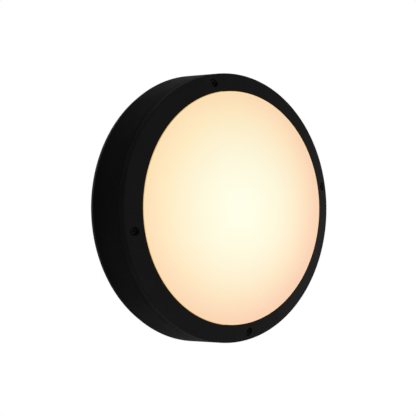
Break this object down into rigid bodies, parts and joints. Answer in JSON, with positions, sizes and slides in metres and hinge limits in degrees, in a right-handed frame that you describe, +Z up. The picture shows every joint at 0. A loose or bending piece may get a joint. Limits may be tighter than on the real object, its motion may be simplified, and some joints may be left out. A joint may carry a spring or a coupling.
{
  "type": "outdoor wall light",
  "caption": "Round black surface wall light with a shallow domed opal diffuser held by a screwed cover ring, for outdoor walls.",
  "frame": {"origin": "centre of the back, on the wall plane", "axes": "+Z up, +Y into the wall, the diffuser faces -Y, +X to the right seen from the front"},
  "size_m": [0.3, 0.0826, 0.3],
  "materials": {
    "housing_paint": "matt black fine-textured powder coat on cast aluminium",
    "ring_paint": "matt black fine-textured powder coat on cast aluminium",
    "opal": "satin opal polycarbonate, lit warm white from behind",
    "black_steel": "blackened stainless steel",
    "black_nylon": "plain",
    "silicone": "translucent grey silicone",
    "foam": "closed-cell foam",
    "black_rubber": "moulded rubber",
    "zinc_steel": "zinc plated",
    "white_steel": "gloss white reflector paint",
    "board_white": "white solder mask",
    "led_phosphor": "yellow phosphor",
    "white_nylon": "moulded",
    "driver_plastic": "moulded, fine texture",
    "circuit_green": "green solder mask",
    "winding_amber": "taped winding on a ferrite core",
    "capacitor_blue": "shrink sleeve",
    "brass": "plain",
    "lead_brown": "extruded insulation",
    "lead_blue": "extruded insulation",
    "lead_green": "extruded insulation, green and yellow",
    "lead_red": "extruded insulation",
    "lead_black": "extruded insulation"
  },
  "bodies": {
    "root": {"base_housing": "housing_paint", "wall_gasket": "foam", "fixing_seals": "black_rubber", "cable_grommet": "black_rubber", "blanking_grommet": "black_rubber", "terminal_block": "white_nylon", "terminal_clamps": "brass", "terminal_clamp_screws": "zinc_steel", "terminal_block_screws": "zinc_steel", "earth_lug": "brass", "earth_spring_washer": "zinc_steel", "earth_screw": "zinc_steel", "driver_case": "driver_plastic", "driver_circuit_board": "circuit_green", "driver_transformer": "winding_amber", "driver_capacitors": "capacitor_blue", "driver_input_connector": "white_nylon", "driver_output_connector": "white_nylon", "driver_lid": "driver_plastic", "driver_screws": "zinc_steel", "gear_tray": "white_steel", "tray_screws": "zinc_steel", "tray_lead_grommet": "black_rubber", "led_board": "board_white", "led_chips": "led_phosphor", "led_board_connector": "white_nylon", "led_board_screws": "zinc_steel", "live_lead": "lead_brown", "neutral_lead": "lead_blue", "earth_lead": "lead_green", "led_plus_lead": "lead_red", "led_minus_lead": "lead_black", "diffuser_gasket": "silicone", "diffuser": "opal", "cover_ring": "ring_paint", "cover_screw_washers": "black_nylon", "cover_screws": "black_steel"}
  },
  "joints": []
}
